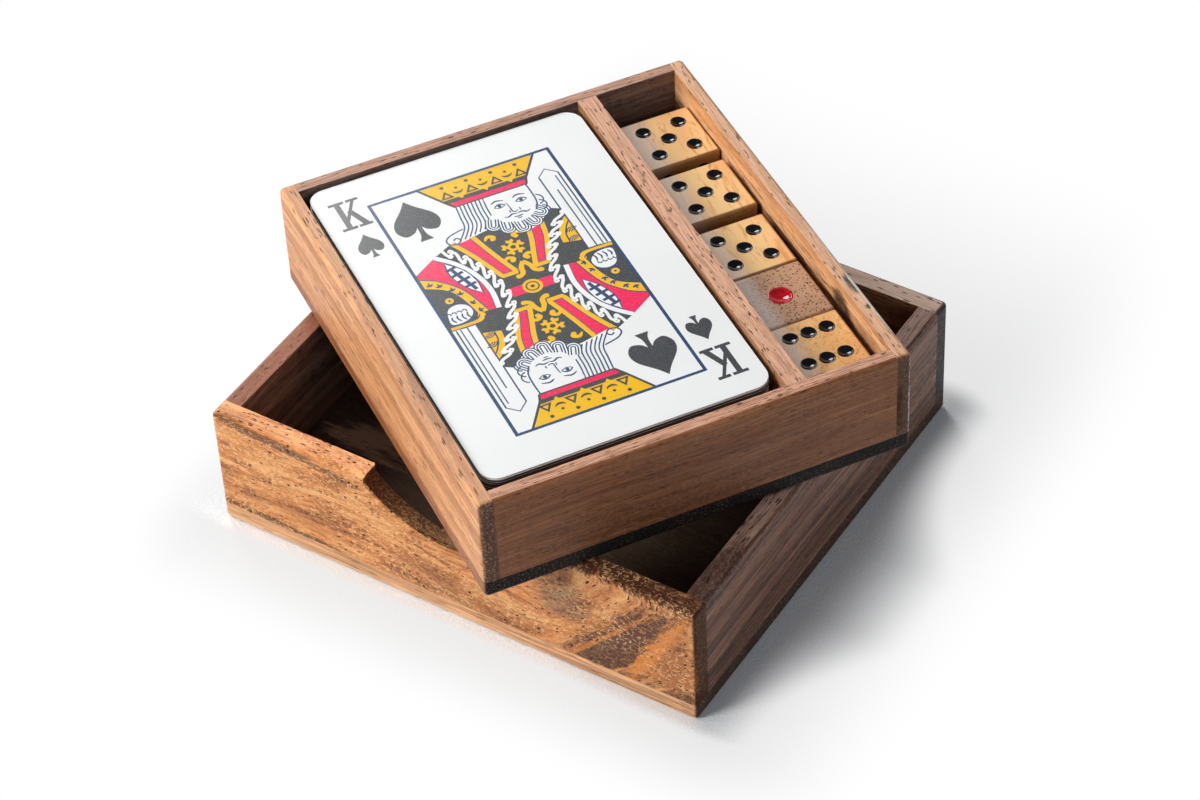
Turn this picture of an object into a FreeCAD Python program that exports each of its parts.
import FreeCAD, Part
import math
import os

from FreeCAD import Matrix, Placement, Rotation, Vector

# Card and dice box in solid wood, in millimetres, +Z up.
# The outer case is an open box that stands on the ground, centred on the Z axis, with its
# notched front wall towards -Y. The tray is a shallow box with one well for a pack of cards
# and one for five dice. It drops into the case when it is lined up with it, its own length
# along the case's length. Here it lies across the case's rim, twisted.

# ---------------------------------------------------------------- driving dimensions

# Playing cards, bridge size
CARD_WIDTH = 57.4
CARD_LENGTH = 88.0
CARD_THICKNESS = 0.35
CARD_CORNER_RADIUS = 3.6
CARD_COUNT = 54

# Dice, with pips drilled as shallow cones and one large pip on the ace
DIE_EDGE = 15.2
DIE_CHAMFER = 0.5
PIP_DIAMETER = 3.2
PIP_DEPTH = 0.6
ACE_DIAMETER = 4.8

# Small curves that repeat many times are drawn with this many flats
FLATS_PER_CARD_CORNER = 4
FLATS_PER_PIP = 16

# Tray: its boards, and the room round what it holds
TRAY_WALL = 3.0
TRAY_BOTTOM = 3.75
DIVIDER_THICKNESS = 3.95
TRAY_ARRIS = 1.0
CARD_SIDE_ROOM = 1.95
CARD_END_ROOM = 3.4
DICE_SIDE_ROOM = 2.05
DICE_GAP = 0.1
HEADROOM = 0.85

# Case: its boards, and the room round the tray when it is nested
CASE_WALL = 4.2
CASE_BOTTOM = 4.0
CASE_ARRIS = 1.0
NEST_CLEARANCE = 0.75
NEST_HEADROOM = 0.7

# Thumb notch in the rim of the case's front wall: a shallow arc between upright ends
NOTCH_WIDTH = 36.4
NOTCH_DEPTH = 10.2
NOTCH_RADIUS = 24.0
NOTCH_ARRIS = 0.3

# How the tray lies on the rim: its turn away from the nested position, and its centre
TRAY_TWIST = -33.4
TRAY_CENTRE_X = 1.9
TRAY_CENTRE_Y = 0.0

# The share of the cards' spare room that lies in front of them
CARDS_SHARE_IN_FRONT = 0.78

# The dice from the front of their well to the back. Each has the value on its top, the value
# that faces the front, the share of the well's spare length that lies in front of it, and
# the share of the well's spare width that lies at its left.
DICE = [
    (6, 5, 0.25, 0.31),
    (1, 2, 0.00, 0.31),
    (5, 3, 0.00, 0.31),
    (5, 1, 0.18, 0.56),
    (5, 4, 0.17, 0.88),
]

# ---------------------------------------------------------------- derived sizes

DECK_HEIGHT = CARD_COUNT * CARD_THICKNESS
DICE_ROW = len(DICE) * (DIE_EDGE + DICE_GAP)
CARD_WELL_WIDTH = CARD_WIDTH + CARD_SIDE_ROOM
DICE_WELL_WIDTH = DIE_EDGE + DICE_SIDE_ROOM
WELL_LENGTH = max(CARD_LENGTH + CARD_END_ROOM, DICE_ROW)
WELL_DEPTH = max(DECK_HEIGHT, DIE_EDGE) + HEADROOM

TRAY_WIDTH = TRAY_WALL + CARD_WELL_WIDTH + DIVIDER_THICKNESS + DICE_WELL_WIDTH + TRAY_WALL
TRAY_LENGTH = WELL_LENGTH + 2 * TRAY_WALL
TRAY_HEIGHT = TRAY_BOTTOM + WELL_DEPTH

CASE_LENGTH = TRAY_LENGTH + 2 * NEST_CLEARANCE + 2 * CASE_WALL
CASE_WIDTH = TRAY_WIDTH + 2 * NEST_CLEARANCE + 2 * CASE_WALL
CASE_HEIGHT = CASE_BOTTOM + TRAY_HEIGHT + NEST_HEADROOM

# Inner faces of the tray, in its own frame: centred on its length and width, underside at 0,
# front end towards -Y
WELL_FRONT = -WELL_LENGTH / 2
WELL_BACK = WELL_LENGTH / 2
CARD_WELL_LEFT = -TRAY_WIDTH / 2 + TRAY_WALL
DIVIDER_LEFT = CARD_WELL_LEFT + CARD_WELL_WIDTH
DICE_WELL_LEFT = DIVIDER_LEFT + DIVIDER_THICKNESS
DICE_WELL_RIGHT = DICE_WELL_LEFT + DICE_WELL_WIDTH

NODES = {}


# ---------------------------------------------------------------- general shapes

def block(x_span, y_span, z_span):
    """A box between three pairs of limits."""
    sizes = [high - low for low, high in (x_span, y_span, z_span)]
    return Part.makeBox(*sizes, Vector(x_span[0], y_span[0], z_span[0]))


def envelope(length_x, length_y, height, arris):
    """The outside of a glued-up box that stands on z = 0, with all its arrises rounded."""
    whole = block((-length_x / 2, length_x / 2), (-length_y / 2, length_y / 2), (0, height))
    return whole.makeFillet(arris, whole.Edges)


def closed_face(points):
    """A flat face with straight sides through the points."""
    return Part.Face(Part.makePolygon(points + points[:1]))


# ---------------------------------------------------------------- outer case

def notch_cutter():
    """The thumb notch as a solid that runs through the front wall."""
    half = NOTCH_WIDTH / 2
    low = CASE_HEIGHT - NOTCH_DEPTH
    shoulder = low + NOTCH_RADIUS - math.sqrt(NOTCH_RADIUS ** 2 - half ** 2)
    above = CASE_HEIGHT + NOTCH_DEPTH
    y = -CASE_WIDTH / 2 - CASE_WALL
    left_top = Vector(-half, y, above)
    left = Vector(-half, y, shoulder)
    bottom = Vector(0, y, low)
    right = Vector(half, y, shoulder)
    right_top = Vector(half, y, above)
    outline = Part.Wire([
        Part.makeLine(left_top, left),
        Part.Arc(left, bottom, right).toShape(),
        Part.makeLine(right, right_top),
        Part.makeLine(right_top, left_top),
    ])
    return Part.Face(outline).extrude(Vector(0, 3 * CASE_WALL, 0))


def ease_notch(board):
    """Takes off the sharp edges that the notch leaves on both faces of its board."""
    edges = []
    for edge in board.Edges:
        box = edge.BoundBox
        within = max(abs(box.XMin), abs(box.XMax)) < NOTCH_WIDTH / 2 + NOTCH_ARRIS
        if within and box.ZMin > CASE_BOTTOM + NOTCH_ARRIS:
            if box.YLength < NOTCH_ARRIS:
                edges.append(edge)
    return board.makeChamfer(NOTCH_ARRIS, edges)


def make_case():
    """Five boards: long front and back walls, short side walls between them, and a bottom."""
    outside = envelope(CASE_LENGTH, CASE_WIDTH, CASE_HEIGHT, CASE_ARRIS)
    x = CASE_LENGTH / 2
    y = CASE_WIDTH / 2
    walls = (CASE_BOTTOM, CASE_HEIGHT)
    front = block((-x, x), (-y, CASE_WALL - y), walls).cut(notch_cutter())
    back = block((-x, x), (y - CASE_WALL, y), walls)
    left = block((-x, CASE_WALL - x), (CASE_WALL - y, y - CASE_WALL), walls)
    right = block((x - CASE_WALL, x), (CASE_WALL - y, y - CASE_WALL), walls)
    bottom = block((-x, x), (-y, y), (0, CASE_BOTTOM))
    NODES["case_front_panel"] = ease_notch(front).common(outside)
    NODES["case_back_panel"] = back.common(outside)
    NODES["case_left_panel"] = left.common(outside)
    NODES["case_right_panel"] = right.common(outside)
    NODES["case_bottom_board"] = bottom.common(outside)


# ---------------------------------------------------------------- tray

def on_rim(shape):
    """Moves a shape from the tray's own frame to where the tray lies on the case's rim."""
    turn = Rotation(Vector(0, 0, 1), 90 + TRAY_TWIST)
    place = Placement(Vector(TRAY_CENTRE_X, TRAY_CENTRE_Y, CASE_HEIGHT), turn)
    return shape.transformed(place.toMatrix())


def make_tray():
    """Six boards: sides of full depth, ends and divider between them, and a bottom."""
    outside = envelope(TRAY_WIDTH, TRAY_LENGTH, TRAY_HEIGHT, TRAY_ARRIS)
    x = TRAY_WIDTH / 2
    y = TRAY_LENGTH / 2
    walls = (TRAY_BOTTOM, TRAY_HEIGHT)
    between_sides = (CARD_WELL_LEFT, DICE_WELL_RIGHT)
    well = (WELL_FRONT, WELL_BACK)
    boards = {
        "tray_left_panel": block((-x, CARD_WELL_LEFT), (-y, y), walls),
        "tray_right_panel": block((DICE_WELL_RIGHT, x), (-y, y), walls),
        "tray_front_panel": block(between_sides, (-y, WELL_FRONT), walls),
        "tray_back_panel": block(between_sides, (WELL_BACK, y), walls),
        "tray_divider": block((DIVIDER_LEFT, DICE_WELL_LEFT), well, walls),
        "tray_bottom_board": block((-x, x), (-y, y), (0, TRAY_BOTTOM)),
    }
    for name, board in boards.items():
        NODES[name] = on_rim(board.common(outside))


# ---------------------------------------------------------------- cards

def card_outline():
    """Points round a card that is centred on the origin, counter-clockwise from its right."""
    half_x = CARD_WIDTH / 2 - CARD_CORNER_RADIUS
    half_y = CARD_LENGTH / 2 - CARD_CORNER_RADIUS
    points = []
    for quarter, (side_x, side_y) in enumerate([(1, 1), (-1, 1), (-1, -1), (1, -1)]):
        for step in range(FLATS_PER_CARD_CORNER + 1):
            angle = math.radians(90 * (quarter + step / FLATS_PER_CARD_CORNER))
            points.append(Vector(
                side_x * half_x + CARD_CORNER_RADIUS * math.cos(angle),
                side_y * half_y + CARD_CORNER_RADIUS * math.sin(angle),
                0,
            ))
    return points


def make_cards():
    """The pack, with the card on top as a piece of its own."""
    card = closed_face(card_outline()).extrude(Vector(0, 0, CARD_THICKNESS))
    spare_length = WELL_LENGTH - CARD_LENGTH
    place = Vector(
        CARD_WELL_LEFT + CARD_WELL_WIDTH / 2,
        WELL_FRONT + spare_length * CARDS_SHARE_IN_FRONT + CARD_LENGTH / 2,
        TRAY_BOTTOM,
    )
    pack = []
    for index in range(CARD_COUNT):
        lift = Vector(0, 0, index * CARD_THICKNESS)
        pack.append(on_rim(card.translated(place + lift)))
    NODES["card_deck"] = Part.makeCompound(pack[:-1])
    NODES["top_card"] = pack[-1]


# ---------------------------------------------------------------- dice

# Outward direction of each value on a right-handed die, whose opposite faces add up to
# seven, and the direction along which the six's rows of three run
FACE_DIRECTION = {
    1: Vector(0, 0, 1),
    2: Vector(0, -1, 0),
    3: Vector(1, 0, 0),
    4: Vector(-1, 0, 0),
    5: Vector(0, 1, 0),
    6: Vector(0, 0, -1),
}
ROW_DIRECTION = {
    1: Vector(1, 0, 0),
    2: Vector(1, 0, 0),
    3: Vector(0, 1, 0),
    4: Vector(0, 1, 0),
    5: Vector(1, 0, 0),
    6: Vector(1, 0, 0),
}

# Pip places in quarters of the edge from the face's centre
MIDDLE = [(0, 0)]
FALLING_PAIR = [(-1, 1), (1, -1)]
RISING_PAIR = [(-1, -1), (1, 1)]
SIDE_PAIR = [(0, -1), (0, 1)]
PIP_PLACES = {
    1: MIDDLE,
    2: FALLING_PAIR,
    3: FALLING_PAIR + MIDDLE,
    4: FALLING_PAIR + RISING_PAIR,
    5: FALLING_PAIR + RISING_PAIR + MIDDLE,
    6: FALLING_PAIR + RISING_PAIR + SIDE_PAIR,
}


def drill_point(mouth, along, across, radius):
    """A shallow faceted cone whose mouth lies in a face spanned by two directions."""
    ring = []
    for step in range(FLATS_PER_PIP):
        angle = 2 * math.pi * (step + 0.5) / FLATS_PER_PIP
        ring.append(mouth + along * radius * math.cos(angle) + across * radius * math.sin(angle))
    tip = mouth - along.cross(across) * PIP_DEPTH
    faces = [closed_face(ring)]
    for index, corner in enumerate(ring):
        faces.append(closed_face([ring[index - 1], corner, tip]))
    return Part.Solid(Part.Shell(faces))


def pip_cutters(value):
    """The drill points of one face of a die that is centred on the origin."""
    outward = FACE_DIRECTION[value]
    along = ROW_DIRECTION[value]
    across = outward.cross(along)
    radius = (ACE_DIAMETER if value == 1 else PIP_DIAMETER) / 2
    cutters = []
    for column, row in PIP_PLACES[value]:
        offset = along * (column * DIE_EDGE / 4) + across * (row * DIE_EDGE / 4)
        mouth = outward * (DIE_EDGE / 2) + offset
        cutters.append(drill_point(mouth, along, across, radius))
    return cutters


def turned_die(top, front):
    """A die centred on the origin, with one value up and another towards -Y."""
    half = DIE_EDGE / 2
    cube = block((-half, half), (-half, half), (-half, half))
    cube = cube.makeChamfer(DIE_CHAMFER, cube.Edges)
    cutters = []
    for value in FACE_DIRECTION:
        cutters += pip_cutters(value)
    cube = cube.cut(Part.makeCompound(cutters))
    up = FACE_DIRECTION[top]
    back = -FACE_DIRECTION[front]
    right = back.cross(up)
    turn = Matrix(
        right.x, right.y, right.z, 0,
        back.x, back.y, back.z, 0,
        up.x, up.y, up.z, 0,
        0, 0, 0, 1,
    )
    return cube.transformed(turn).Solids[0]


def make_dice():
    """Five dice in one row, standing on the bottom of their well."""
    spare_length = WELL_LENGTH - len(DICE) * DIE_EDGE - (len(DICE) - 1) * DICE_GAP
    spare_width = DICE_WELL_WIDTH - DIE_EDGE
    front = WELL_FRONT
    for number, (top, front_value, share_in_front, share_at_left) in enumerate(DICE, 1):
        front += spare_length * share_in_front
        centre = Vector(
            DICE_WELL_LEFT + spare_width * share_at_left + DIE_EDGE / 2,
            front + DIE_EDGE / 2,
            TRAY_BOTTOM + DIE_EDGE / 2,
        )
        die = turned_die(top, front_value)
        die.translate(centre)
        NODES[f"die_{number}"] = on_rim(die)
        front += DIE_EDGE + DICE_GAP


# ---------------------------------------------------------------- output

make_case()
make_tray()
make_cards()
make_dice()

os.makedirs("parts", exist_ok=True)
for name, shape in NODES.items():
    shape.exportStep(f"parts/{name}.step")
    box = shape.BoundBox
    print(
        f"{name:20s} solids {len(shape.Solids):2d} faces {len(shape.Faces):4d} valid {shape.isValid()}"
        f" volume {shape.Volume:9.1f}  z {box.ZMin:7.2f} to {box.ZMax:7.2f}"
    )
